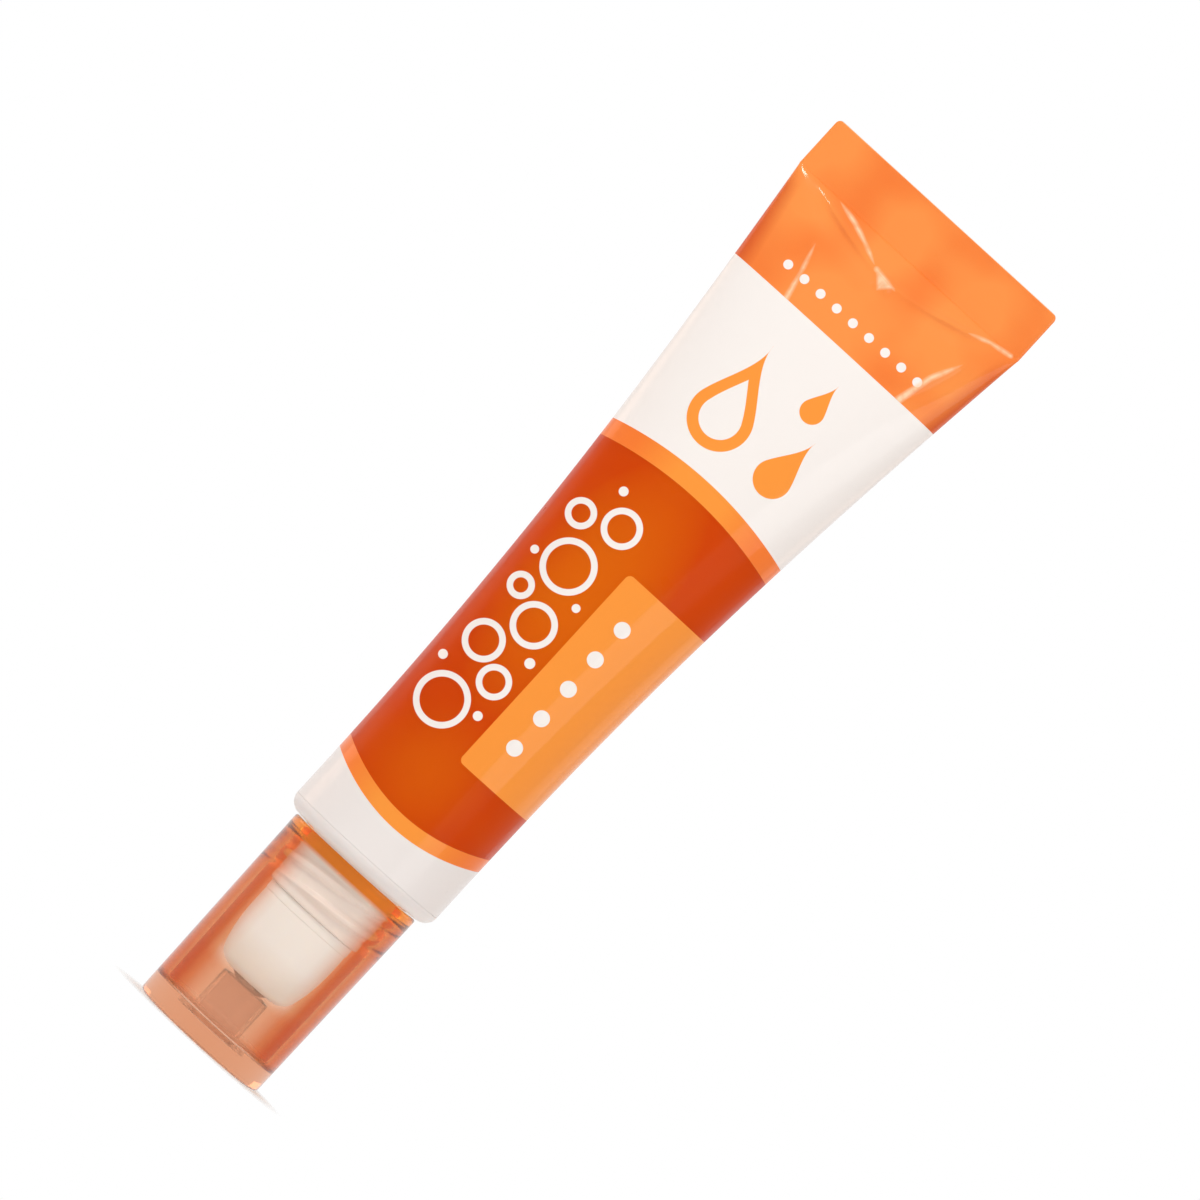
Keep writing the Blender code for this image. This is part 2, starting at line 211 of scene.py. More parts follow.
class Socket:
    """A socket of a material's nodes, which can stand in sums and can add nodes beside it."""

    def __init__(self, tree, socket=None):
        self.tree = tree
        self.socket = socket

    def node(self, kind, settings=None, inputs=None, output=0):
        """Adds a node, sets it, fills its sockets with values or links and gives one output."""
        node = self.tree.nodes.new("ShaderNode" + kind)
        for name, value in (settings or {}).items():
            setattr(node, name, value)
        for name, value in (inputs or {}).items():
            if isinstance(value, Socket):
                self.tree.links.new(value.socket, node.inputs[name])
            elif isinstance(value, tuple) and len(value) == 3 and len(node.inputs[name].default_value) == 4:
                node.inputs[name].default_value = (*value, 1.0)
            else:
                node.inputs[name].default_value = value
        return Socket(self.tree, node.outputs[output])

    def math(self, operation, *values):
        return self.node("Math", {"operation": operation}, dict(enumerate(values)))

    def __add__(self, other):
        return self.math("ADD", self, other)

    __radd__ = __add__

    def __sub__(self, other):
        return self.math("SUBTRACT", self, other)

    def __rsub__(self, other):
        return self.math("SUBTRACT", other, self)

    def __mul__(self, other):
        return self.math("MULTIPLY", self, other)

    __rmul__ = __mul__

    def __truediv__(self, other):
        return self.math("DIVIDE", self, other)

    def __pow__(self, other):
        return self.math("POWER", self, other)

    def __abs__(self):
        return self.math("ABSOLUTE", self)

    def at_most(self, other):
        return self.math("MINIMUM", self, other)

    def at_least(self, other):
        return self.math("MAXIMUM", self, other)

    def clamped(self):
        return self.node("Clamp", {}, {"Value": self})

    def repeated(self, pitch):
        """How far this is past the nearest whole number of pitches."""
        return self.math("FLOORED_MODULO", self + pitch / 2, pitch) - pitch / 2

    def inside(self, softness=0.05):
        """1 where this distance is below 0 and 0 where it is above, with a soft edge."""
        return (0.5 - self / softness).clamped()

    def flat(self, colour):
        """One colour all over, for others to be painted on."""
        flat = self.node("RGB")
        flat.socket.default_value = (*colour, 1.0)
        return flat

    def painted(self, colour, mask):
        """This colour with another over it where the mask is 1."""
        # A Mix node has its two colours at 6 and 7, and the mixed colour is its output 2.
        return self.node("Mix", {"data_type": "RGBA"}, {0: mask, 6: self, 7: colour}, 2)

    def in_mm(self, axis):
        """One axis of these places, in mm."""
        return self.node("SeparateXYZ", {}, {0: self}, axis) * 1000.0

    def noise(self, scale, detail, distortion=0.0):
        """Noise over these places, with so many cells to the metre."""
        values = {"Vector": self, "Scale": scale, "Detail": detail, "Distortion": distortion}
        return self.node("TexNoise", {}, values)

    def bump(self, strength, depth):
        """The normal of a surface that stands out by this, times a depth."""
        return self.node("Bump", {}, {"Strength": strength, "Distance": depth, "Height": self})

    def to_line(self, up, first, last, thin_first, thin_last):
        """Distance from this across and up to a line between two places, more at its thin ends."""
        run_x, run_z = last[0] - first[0], last[1] - first[1]
        length = math.hypot(run_x, run_z)
        run_x, run_z = run_x / length, run_z / length
        off_x, off_z = self - first[0], up - first[1]
        along = (off_x * run_x + off_z * run_z).at_least(0.0).at_most(length)
        off_line = ((off_x - along * run_x) ** 2.0 + (off_z - along * run_z) ** 2.0) ** 0.5
        share = along / length
        return off_line + (1.0 - share) ** 2.0 * thin_first + share**2.0 * thin_last


def new_material(name):
    """A material, its shader, and a Socket that gives places on the object."""
    material = bpy.data.materials.new(name)
    material.use_nodes = True
    tree = material.node_tree
    return material, tree.nodes["Principled BSDF"], Socket(tree).node("TexCoord", output="Object")


def dress(shader, looks):
    """Sets the shader's sockets, each to one value or to what nodes work out."""
    for name, value in looks.items():
        if isinstance(value, Socket):
            shader.id_data.links.new(value.socket, shader.inputs[name])
        else:
            shader.inputs[name].default_value = value


def nearest(distances):
    """The least of several distances."""
    least = distances[0]
    for distance in distances[1:]:
        least = least.at_most(distance)
    return least


def dot(x, z, centre, radius):
    """Distance to the edge of a round spot."""
    return (((x - centre[0]) ** 2.0 + (z - centre[1]) ** 2.0) ** 0.5) - radius


def drop(x, z, centre, radius, length, lean, waist):
    """Distance to the edge of a drop with its round end at the centre and its tip above."""
    turn = math.radians(lean)
    across = abs((x - centre[0]) * math.cos(turn) - (z - centre[1]) * math.sin(turn))
    up = (x - centre[0]) * math.sin(turn) + (z - centre[1]) * math.cos(turn)
    slope = radius / length
    run = math.sqrt(1 - slope**2)
    shoulder = radius * slope
    share = ((up - shoulder) / (length - shoulder)).clamped()
    side = (across + share * share * (1.0 - share) * (6.75 * waist)) * run + up * slope - radius
    end = (across**2.0 + up**2.0) ** 0.5 - radius
    on_side = (up * run - across * slope) / 0.02
    return end + (side - end) * on_side.clamped()


def glow_patch(x, z, centre, half_width, half_height):
    """1 in the middle of an oval, falling to 0 at its edge."""
    return (1.0 - ((x - centre[0]) / half_width) ** 2.0 - ((z - centre[1]) / half_height) ** 2.0).clamped()


# The print's places and sizes are in mm, across from the tube's middle and up from the cap's end.
WHITE_INK = (0.93, 0.87, 0.825)
LOW_WHITE = (0.87, 0.81, 0.775)
PALE_ORANGE = (0.975, 0.31, 0.035)
BAND_PAINTED_SHADE = (0.95, 0.20, 0.02)
TAIL_ORANGE = (0.975, 0.29, 0.055)
TAIL_SHADE = (0.92, 0.19, 0.025)
TAIL_EDGE_PAINTED_SHADE = (0.68, 0.08, 0.004)
WINDOW_TINT = (0.74, 0.066, 0.0006)
WINDOW_PAINTED_GLOW = (0.86, 0.17, 0.002)
FILM_CORE = (0.96, 0.60, 0.42)
CREST_HIGHLIGHT = (0.98, 0.66, 0.40)
LOW_WHITE_UP_TO = 45.0
LOWER_BAND_Z, LOWER_BAND_WIDTH = 29.4, 1.65
UPPER_BAND_Z, UPPER_BAND_WIDTH = 74.2, 2.1
TAIL_PRINT_Z = 95.3
PANEL_X, PANEL_Z, PANEL_CORNER = 10.5, 51.5, 0.6
PANEL_FLAT_WIDTH, PANEL_FLAT_HEIGHT = 9.5, 12.1
RING_LINE = 0.33
DROP_LINE = 0.6
CUT_EDGE = 0.06
RINGS = (
    (-5.0, 42.2, 2.6),
    (-2.3, 47.0, 1.5),
    (-5.9, 49.4, 1.9),
    (-3.2, 53.9, 2.1),
    (-6.9, 56.0, 1.1),
    (-4.6, 60.6, 2.6),
    (-7.3, 65.4, 1.3),
    (-3.2, 67.0, 1.8),
)
BEADS = (
    (-1.2, 43.4, 0.5),
    (-8.0, 45.6, 0.5),
    (-0.9, 50.8, 0.55),
    (-1.2, 58.0, 0.45),
    (-8.3, 59.6, 0.45),
    (-5.6, 69.9, 0.5),
)
# Each painted highlight runs along a crease's crest from one place to another and thins towards its ends.
CRESTS = (
    ((-9.2, 106.3), (-6.6, 105.7), 0.36, 0.06),
    ((-6.6, 105.7), (-4.6, 104.9), 0.06, 0.12),
    ((-4.6, 104.9), (-2.4, 103.9), 0.12, 0.34),
    ((9.3, 105.2), (11.6, 106.0), 0.34, 0.16),
    ((11.6, 106.0), (14.0, 106.4), 0.16, 0.10),
    ((11.0, 102.4), (9.5, 99.2), 0.34, 0.02),
    ((9.5, 99.2), (8.5, 95.0), 0.02, -0.12),
    ((-8.2, 101.4), (-7.3, 98.2), 0.36, 0.14),
    ((-7.3, 98.2), (-6.6, 95.0), 0.14, 0.02),
    ((-1.9, 103.7), (0.9, 103.3), 0.05, 0.3),
)


def band_edges(x, z):
    """How far up a place is past the foot of the lower and of the upper curved band."""
    lower = z - LOWER_BAND_Z - (x / 9.5) ** 2.0 * 2.3
    upper = z - UPPER_BAND_Z + (x / 11.6) ** 2.0 * 1.6
    return lower, upper


def clear_window(lower, upper):
    """1 where no white is printed under the colour, so that the oil shows."""
    return (1.0 - (lower - LOWER_BAND_WIDTH).inside()) * upper.inside()


film, film_shader, places = new_material("printed_film")
x, y, z = [places.in_mm(axis) for axis in "XYZ"]
front = y.inside(0.3)
lower, upper = band_edges(x, z)
window = clear_window(lower, upper)
off_panel_x = (abs(x - PANEL_X) - PANEL_FLAT_WIDTH).at_least(0.0)
off_panel_z = (abs(z - PANEL_Z) - PANEL_FLAT_HEIGHT).at_least(0.0)
panel = ((off_panel_x**2.0 + off_panel_z**2.0) ** 0.5 - PANEL_CORNER).inside() * front
column = dot(x, (z - PANEL_Z).repeated(4.0), (3.7, 0.0), 0.85)
panel_dots = column.inside() * (abs(z - PANEL_Z) - 10.0).inside() * front
ring_lines = [abs(dot(x, z, place, radius)) - RING_LINE for *place, radius in RINGS]
bead_spots = [dot(x, z, place, radius) for *place, radius in BEADS]
white_marks = nearest(ring_lines + bead_spots).inside() * front
outlined_drop = drop(x, z, (-3.4, 81.9), radius=3.4, length=9.0, lean=-6.0, waist=0.55)
drops = [abs(outlined_drop + DROP_LINE) - DROP_LINE]
drops.append(drop(x, z, (4.6, 80.9), radius=2.0, length=5.6, lean=8.0, waist=0.3))
drops.append(drop(x, z, (3.0, 88.6), radius=1.3, length=3.7, lean=4.0, waist=0.18))
drops = nearest(drops).inside() * front
tail = 1.0 - (z - TAIL_PRINT_Z).inside()
tail_row = dot(x.repeated(2.2), z, (0.0, 98.0), 0.5)
tail_dots = tail_row.inside() * (abs(x) - 10.2).inside() * front
crest = nearest([x.to_line(z, *ends) for ends in CRESTS])
point = abs(x + 0.5) * 0.85 + (103.6 - z) * 0.8 - 1.15
point = point.at_least((z - 103.55) + (x + 0.5) * 0.1) + 0.3
crest = crest.at_most(point.at_least(0.0))
# The tail is painted paler along the crests of its creases: painted highlights, broken up by noise.
highlight_breaks = places.noise(900.0, 3.0)
crest_highlight = ((0.42 - crest) / 0.36).clamped() * (highlight_breaks * 1.8 - 0.1).clamped() * tail * front
# The window is painted lighter in two soft ovals and in random spots: painted glow of light in the oil.
low_painted_glow = glow_patch(x, z, (-1.0, 36.0), 7.5, 9.0) ** 2.0
painted_glow = glow_patch(x, z, (-1.5, 60.0), 7.5, 17.0).at_least(low_painted_glow * 0.65)
glow_spots = (places.noise(60.0, 3.0) - 0.5).at_least(0.0)
band = 1.0 - lower.inside()
colour = places.flat(WHITE_INK)
colour = colour.painted(LOW_WHITE, (z - LOW_WHITE_UP_TO).inside())
colour = colour.painted(PALE_ORANGE, band)
colour = colour.painted(WINDOW_TINT, window)
colour = colour.painted(WINDOW_PAINTED_GLOW, window * (painted_glow * 0.75 + glow_spots))
# The orange bands are painted darker towards the tube's sides: painted shade.
colour = colour.painted(BAND_PAINTED_SHADE, band * (1.0 - window) * ((abs(x) - 3.0) / 5.0).clamped())
colour = colour.painted(WHITE_INK, 1.0 - (upper - UPPER_BAND_WIDTH).inside())
colour = colour.painted(PALE_ORANGE, panel)
colour = colour.painted(WHITE_INK, (white_marks + panel_dots).clamped())
colour = colour.painted(PALE_ORANGE, drops)
colour = colour.painted(TAIL_ORANGE, tail)
colour = colour.painted(TAIL_SHADE, tail * ((places.noise(95.0, 1.5) - 0.45) * 5.0).clamped())
# The tail is painted darker near its side edges, where the film curves away: painted shade.
painted_edge_shade = ((abs(x) - 11.3 - (z - 95.0) * 0.19) / 1.8).clamped() * (z - 105.0).inside(2.5)
colour = colour.painted(TAIL_EDGE_PAINTED_SHADE, tail * painted_edge_shade * 0.9)
colour = colour.painted(WHITE_INK, tail_dots)
colour = colour.painted(CREST_HIGHLIGHT, crest_highlight)
colour = colour.painted(FILM_CORE, 1.0 - (z - TAIL_Z / MM + CUT_EDGE).inside(0.04))
print_cover = (1.0 - window + panel + white_marks).clamped()
ripple = places.noise(420.0, 3.0) * 0.5 + places.noise(90.0, 2.0)
dress(film_shader, {
    "Base Color": colour,
    "Alpha": print_cover * 0.22 + 0.78,
    "Coat Weight": print_cover * 0.35 + 0.07,
    "Coat Roughness": 0.07,
    "Roughness": places.noise(160.0, 4.0) * 0.16 + 0.22,
    "Specular IOR Level": 0.04,
    "Normal": ripple.bump(0.25, 0.12 * MM),
})

LINING_WHITE = (0.78, 0.74, 0.70)
LINING_STAIN = (0.80, 0.50, 0.32)
lining_film, lining_shader, places = new_material("film_inside")
lower, upper = band_edges(places.in_mm("X"), places.in_mm("Z"))
dress(lining_shader, {
    "Base Color": places.flat(LINING_WHITE).painted(LINING_STAIN, places.noise(200.0, 3.0) * 0.3),
    "Alpha": 1.0 - clear_window(lower, upper),
    "Roughness": 0.4,
})

sleeve_mesh = make_sleeve()
sleeve_mesh.materials.append(film)
sleeve_mesh.materials.append(lining_film)
add_piece(sleeve_mesh, "tube", "sleeve_film", "tube_sleeve")

# The head is one moulding in white plastic: a round-edged shoulder, a neck with a two-start
# thread of 5 mm lead, and a skirt that is welded inside the sleeve's round end.
head_low, head_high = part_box("tube_head")
NECK_END_Z = head_low.z
NECK_RADIUS = 5.8 * MM
NECK_BORE = 4.6 * MM
NECK_ROUND = 0.3 * MM
NECK_FILLET = 0.25 * MM
SHOULDER_Z = 23.9 * MM
SHOULDER_WALL = 1.3 * MM
EDGE_ROUND = 1.5 * MM
SKIRT_RADIUS = 8.9 * MM
SKIRT_BORE = 8.0 * MM
SKIRT_ROUND = 0.2 * MM
THREAD_LEAD = 5.0 * MM
THREAD_STARTS = 2
THREAD_HEIGHT = 0.7 * MM
THREAD_LOW = 17.9 * MM
THREAD_HIGH = 22.6 * MM
SAME = 0.001 * MM


def thread_turns(angles, z):
    """Where these angles and this height lie on a right-handed thread, whole on its crests."""
    return (z / THREAD_LEAD - angles / math.tau) * THREAD_STARTS


def run_out(z, low, high, length):
    """1 along a thread, falling to 0 over a length at both of its ends."""
    share = min(max((z - low) / length, 0.0), 1.0) * min(max((high - z) / length, 0.0), 1.0)
    return math.sin(math.pi / 2 * share) ** 2


def neck_thread(angles, radius, z):
    """How far the thread stands out of the neck."""
    if abs(radius - NECK_RADIUS) > SAME:
        return 0.0 * angles
    turns = thread_turns(angles, z)
    away = np.abs(turns - np.round(turns)) * THREAD_LEAD / THREAD_STARTS
    share = np.clip((0.85 * MM - away) / (0.7 * MM), 0.0, 1.0)
    return THREAD_HEIGHT * share * share * (3 - 2 * share) * run_out(z, THREAD_LOW, THREAD_HIGH, 1.2 * MM)


def arc(centre_r, centre_z, radius, first, last, steps):
    """Points of an arc in a profile. 0 degrees is outwards and 90 is up."""
    angles = np.radians(np.linspace(first, last, steps + 1))
    return [(centre_r + radius * math.cos(a), centre_z + radius * math.sin(a)) for a in angles]


def straight(first, last, step=0.09 * MM):
    """Points along a line of a profile, without its last one."""
    count = max(1, round(math.dist(first, last) / step))
    return [tuple(np.array(first) + (np.array(last) - np.array(first)) * i / count) for i in range(count)]


def turned(name, profile, swell=None, steps=160, closed=True, sharp_over=38):
    """Turns a profile of radius and height about Z. swell moves a point's radius in or out."""
    angles = np.arange(steps) / steps * math.tau
    points = []
    rows = []
    for radius, z in profile:
        if radius < SAME:
            rows.append([len(points)] * steps)
            points.append((0.0, 0.0, z))
            continue
        radii = radius + (swell(angles, radius, z) if swell else 0.0 * angles)
        ring = [radii * np.cos(angles), radii * np.sin(angles), np.full(steps, z)]
        rows.append(list(range(len(points), len(points) + steps)))
        points += np.column_stack(ring).tolist()
    pairs = list(zip(rows, rows[1:]))
    if closed:
        pairs.append((rows[-1], rows[0]))
    faces = []
    for here, there in pairs:
        for i in range(steps):
            j = (i + 1) % steps
            corners = list(dict.fromkeys((here[i], here[j], there[j], there[i])))
            if len(corners) > 2:
                faces.append(corners)
    return finished_mesh(name, points, faces, sharp_over)


inner_z = SHOULDER_Z + SHOULDER_WALL
profile = [(SKIRT_BORE, head_high.z)]
profile += [(SKIRT_RADIUS - SKIRT_ROUND, head_high.z), (SKIRT_RADIUS, head_high.z - 2 * SKIRT_ROUND)]
profile.append((SKIRT_RADIUS, SHOULDER_Z + EDGE_ROUND + 0.02 * MM))
profile.append((TUBE_RADIUS - 0.01 * MM, SHOULDER_Z + EDGE_ROUND))
profile += arc(TUBE_RADIUS - EDGE_ROUND, SHOULDER_Z + EDGE_ROUND, EDGE_ROUND, 0, -90, 24)
profile += arc(NECK_RADIUS + NECK_FILLET, SHOULDER_Z - NECK_FILLET, NECK_FILLET, 90, 180, 5)
profile += straight((NECK_RADIUS, SHOULDER_Z - NECK_FILLET), (NECK_RADIUS, NECK_END_Z + NECK_ROUND))
profile += arc(NECK_RADIUS - NECK_ROUND, NECK_END_Z + NECK_ROUND, NECK_ROUND, 0, -90, 4)
profile += [(NECK_BORE + 0.1 * MM, NECK_END_Z), (NECK_BORE, NECK_END_Z + 0.1 * MM), (NECK_BORE, inner_z)]
profile += arc(SKIRT_BORE - SKIRT_ROUND, inner_z + SKIRT_ROUND, SKIRT_ROUND, -90, 0, 8)
head_mesh = turned("shoulder_and_neck", profile, neck_thread)

HEAD_STREAK = (0.82, 0.74, 0.69)
white_plastic, head_shader, places = new_material("white_plastic")
flow = places.noise(140.0, 3.0)
grain = places.noise(2600.0, 2.0)
dress(head_shader, {
    "Base Color": places.flat(LOW_WHITE).painted(HEAD_STREAK, (flow - 0.35).clamped() * 0.6),
    "Roughness": flow * 0.12 + 0.30,
    "Normal": (grain + flow * 2.0).bump(0.2, 0.03 * MM),
    "Subsurface Weight": 0.15,
    "Subsurface Radius": (1.2 * MM, 0.8 * MM, 0.6 * MM),
})
head_mesh.materials.append(white_plastic)
add_piece(head_mesh, "tube", "head_plastic", "tube_head")

# The flow reducer is a small plug in natural plastic with one narrow hole. It is pressed into
# the neck from inside, so that thin oil can't flood the ball. The ball's seat is the same plastic,
# pressed into the housing behind the ball, with crossed channels that feed it.
NATURAL = (0.80, 0.77, 0.72)
OIL_STAIN = (0.78, 0.55, 0.36)
natural_plastic, natural_shader, places = new_material("natural_plastic")
cloud = places.noise(300.0, 3.0)
dress(natural_shader, {
    "Base Color": places.flat(NATURAL).painted(OIL_STAIN, (cloud - 0.45).clamped()),
    "Roughness": cloud * 0.2 + 0.28,
    "Normal": cloud.bump(0.15, 0.03 * MM),
    "Subsurface Weight": 0.3,
    "Subsurface Radius": (1.5 * MM, 1.0 * MM, 0.7 * MM),
})
for node in ("flow_reducer", "ball_seat"):
    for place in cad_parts[node].material_slots:
        place.material = natural_plastic

# The applicator's housing is white plastic. Its tapered nose holds the ball behind a rolled-in
# lip, its collar rests on the neck's end and its stem is pressed into the neck.
housing_low, housing_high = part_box("roller_housing")
ball_low, ball_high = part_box("roller_ball")
BALL_RADIUS = ball_high.x
BALL_Z = (ball_low.z + ball_high.z) / 2
SOCKET_RADIUS = BALL_RADIUS + 0.1 * MM
TIP_Z = housing_low.z
TIP_RADIUS = SOCKET_RADIUS + 1.6 * MM
TIP_ROUND = 1.9 * MM
TIP_SLOPE = math.radians(20)
COLLAR_RADIUS = housing_high.x
COLLAR_LOW_Z = TIP_Z + 8.3 * MM
COLLAR_ROUND = 0.15 * MM
STEM_RADIUS = 4.4 * MM
STEM_BORE = 3.7 * MM
STEM_BEVEL = 0.1 * MM
LEDGE_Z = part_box("ball_seat")[0].z - 0.2 * MM
collar_edge = COLLAR_RADIUS - COLLAR_ROUND
profile = [(STEM_BORE, housing_high.z)]
profile += [(STEM_RADIUS - STEM_BEVEL, housing_high.z), (STEM_RADIUS, housing_high.z - STEM_BEVEL)]
profile.append((STEM_RADIUS, NECK_END_Z - 0.02 * MM))
profile += arc(collar_edge, NECK_END_Z - 0.02 * MM - COLLAR_ROUND, COLLAR_ROUND, 90, 0, 4)
profile += arc(collar_edge, COLLAR_LOW_Z + COLLAR_ROUND, COLLAR_ROUND, 0, -60, 4)
nose = arc(TIP_RADIUS - TIP_ROUND, TIP_Z + TIP_ROUND, TIP_ROUND, -math.degrees(TIP_SLOPE), -90, 12)
nose_radius, nose_z = nose[0]
narrowing = COLLAR_RADIUS - nose_radius
fullness = math.tan(TIP_SLOPE) * (COLLAR_LOW_Z - nose_z) / narrowing
for share in np.linspace(0.05, 1.0, 26)[:-1]:
    radius = COLLAR_RADIUS - narrowing * share**fullness - 0.06 * MM * (1 - share)
    profile.append((radius, COLLAR_LOW_Z + (nose_z - COLLAR_LOW_Z) * share))
profile += nose
lip = math.degrees(math.asin((TIP_Z - BALL_Z) / SOCKET_RADIUS))
profile += arc(0.0, BALL_Z, SOCKET_RADIUS, lip, 0, 16)
profile += [(SOCKET_RADIUS, LEDGE_Z), (STEM_BORE, LEDGE_Z)]
housing_mesh = turned("applicator_nose", profile)

HOUSING_WHITE = (0.90, 0.90, 0.885)
HOUSING_STREAK = (0.87, 0.82, 0.77)
housing_plastic, housing_shader, places = new_material("applicator_plastic")
flow = places.noise(180.0, 3.0)
dress(housing_shader, {
    "Base Color": places.flat(HOUSING_WHITE).painted(HOUSING_STREAK, (flow - 0.4).clamped() * 0.8),
    "Roughness": flow * 0.14 + 0.28,
    "Normal": flow.bump(0.15, 0.03 * MM),
    "Subsurface Weight": 0.2,
    "Subsurface Radius": (1.4 * MM, 1.0 * MM, 0.7 * MM),
})
housing_mesh.materials.append(housing_plastic)
add_piece(housing_mesh, "tube", "housing_plastic", "roller_housing")

# The ball is polished stainless steel, 6 mm across. It is snapped past the lip and rolls in its
# socket on a film of oil. Its mesh is a cube's six faces, each a grid, blown up to a sphere.
BALL_CELLS = 24
corners = []
faces = []
for face in range(6):
    axis, side = divmod(face, 2)
    first = len(corners)
    for row in range(BALL_CELLS + 1):
        for cell in range(BALL_CELLS + 1):
            across = math.tan(math.pi / 4 * (2 * cell / BALL_CELLS - 1))
            up = math.tan(math.pi / 4 * (2 * row / BALL_CELLS - 1))
            point = [across, up]
            if side == 0:
                point.reverse()
            point.insert(axis, 2 * side - 1)
            if axis == 1:
                point[0], point[2] = point[2], point[0]
            corners.append(Vector(point).normalized() * BALL_RADIUS + Vector((0.0, 0.0, BALL_Z)))
    for row in range(BALL_CELLS):
        for cell in range(BALL_CELLS):
            here = first + row * (BALL_CELLS + 1) + cell
            faces.append((here, here + 1, here + BALL_CELLS + 2, here + BALL_CELLS + 1))
ball_mesh = finished_mesh("steel_ball", corners, faces, sharp_over=180)

STEEL = (0.52, 0.50, 0.48)
DULL_STEEL = (0.42, 0.39, 0.36)
steel, steel_shader, places = new_material("polished_steel")
scratches = places.noise(350.0, 8.0, distortion=2.5)
dress(steel_shader, {
    "Base Color": places.flat(STEEL).painted(DULL_STEEL, places.noise(900.0, 6.0) * 0.5),
    "Roughness": (scratches - 0.4).clamped() * 0.35 + 0.06,
    "Metallic": 1.0,
})
ball_mesh.materials.append(steel)
add_piece(ball_mesh, "ball", "ball_steel", "roller_ball")

# The screw cap is one thick-walled moulding in clear orange plastic. Its end is a flat disc that
# the tube stands on, its thread runs inside the bore, and a low rim closes round the neck.
cap_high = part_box("cap_shell")[1]
plug_low, plug_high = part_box("cap_plug")
CAP_RADIUS = cap_high.x
CAP_HEIGHT = cap_high.z + 0.15 * MM
CAP_BORE = 6.9 * MM
CAP_DRAFT = 0.25 * MM
CAP_END = 2.5 * MM
CAP_CORNER = 0.5 * MM
MOUTH_ROUND = 0.25 * MM
RIM_HEIGHT = 1.4 * MM
RIM_STEP = 0.25 * MM
CAP_THREAD_HEIGHT = 0.13 * MM
CAP_THREAD_LOW = 17.4 * MM
CAP_THREAD_HIGH = 22.1 * MM
RECESS_RADIUS = plug_high.x + 0.05 * MM
RECESS_Z = plug_low.z - 0.05 * MM
RECESS_BEVEL = 0.1 * MM


def cap_thread(angles, radius, z):
    """How far the thread stands into the bore, halfway between the crests of the neck's."""
    if radius > CAP_BORE + SAME:
        return 0.0 * angles
    crest = (0.5 + 0.5 * np.cos((thread_turns(angles, z) + 0.5) * math.tau)) ** 2
    return -CAP_THREAD_HEIGHT * crest * run_out(z, CAP_THREAD_LOW, CAP_THREAD_HIGH, 1.4 * MM)


end_bore = CAP_BORE - CAP_DRAFT
end_radius = CAP_RADIUS - CAP_DRAFT
rim_z = CAP_HEIGHT - RIM_HEIGHT
profile = [(0.0, RECESS_Z), (RECESS_RADIUS - RECESS_BEVEL, RECESS_Z)]
profile += [(RECESS_RADIUS, RECESS_Z + RECESS_BEVEL), (RECESS_RADIUS, CAP_END - RECESS_BEVEL)]
profile.append((RECESS_RADIUS + RECESS_BEVEL, CAP_END))
profile += arc(end_bore - CAP_CORNER, CAP_END + CAP_CORNER, CAP_CORNER, -90, 0, 8)
profile += straight((end_bore, CAP_END + CAP_CORNER), (CAP_BORE, rim_z - 0.3 * MM))
for share in np.linspace(0.0, 1.0, 9):
    profile.append((CAP_BORE - RIM_STEP * share * share * (3 - 2 * share), rim_z + (0.9 * share - 0.3) * MM))
profile += arc(CAP_BORE - RIM_STEP + MOUTH_ROUND, CAP_HEIGHT - MOUTH_ROUND, MOUTH_ROUND, 180, 90, 4)
profile += arc(CAP_RADIUS - MOUTH_ROUND, CAP_HEIGHT - MOUTH_ROUND, MOUTH_ROUND, 90, 0, 5)
profile += straight((CAP_RADIUS, CAP_HEIGHT - 0.3 * MM), (end_radius, CAP_CORNER), step=1.0 * MM)
profile += arc(end_radius - CAP_CORNER, CAP_CORNER, CAP_CORNER, 0, -90, 10)
profile.append((0.0, 0.0))
cap_mesh = turned("clear_cap", profile, cap_thread, steps=192, closed=False, sharp_over=50)

# Heights in the cap's colours are in mm.
CAP_CLEAR = (1.0, 0.98, 0.96)
CAP_LOWER_TINT = (0.94, 0.86, 0.79)
CAP_BASE = (0.89, 0.60, 0.45)
CAP_DISC = (0.87, 0.575, 0.435)
CAP_MOUTH = (0.93, 0.29, 0.012)
WALL_LOW = (0.74, 0.21, 0.045)
WALL_HIGH = (0.80, 0.17, 0.015)
WALL_EDGE = (0.60, 0.055, 0.002)
SOAKS_UP = (10.0, 40.0, 64.0)


def light_kinds(start, *kinds):
    """1 for light of these kinds."""
    found = start.node("LightPath", output=kinds[0])
    for kind in kinds[1:]:
        found = found.at_least(start.node("LightPath", output=kind))
    return found


def set_surface(material, surface):
    """Makes this what the material shows."""
    output = material.node_tree.nodes["Material Output"]
    material.node_tree.links.new(surface.socket, output.inputs["Surface"])


def let_through(material, shader, tint, *kinds):
    """Lets light of these kinds through the material unbent, with a tint."""
    surface = Socket(material.node_tree, shader.outputs[0])
    unbent = surface.node("BsdfTransparent", {}, {"Color": tint})
    for kind in kinds:
        surface = surface.node("MixShader", {}, {0: light_kinds(surface, kind), 1: surface, 2: unbent})
    set_surface(material, surface)


clear_plastic, clear_shader, places = new_material("clear_orange_plastic")
x, y, z = [places.in_mm(axis) for axis in "XYZ"]
slant = places.node("LayerWeight", {}, {"Blend": 0.5}, "Facing")
wall = places.flat(WALL_LOW).painted(WALL_HIGH, 1.0 - (z - 17.0).inside(4.0))
colour = places.flat(CAP_CLEAR)
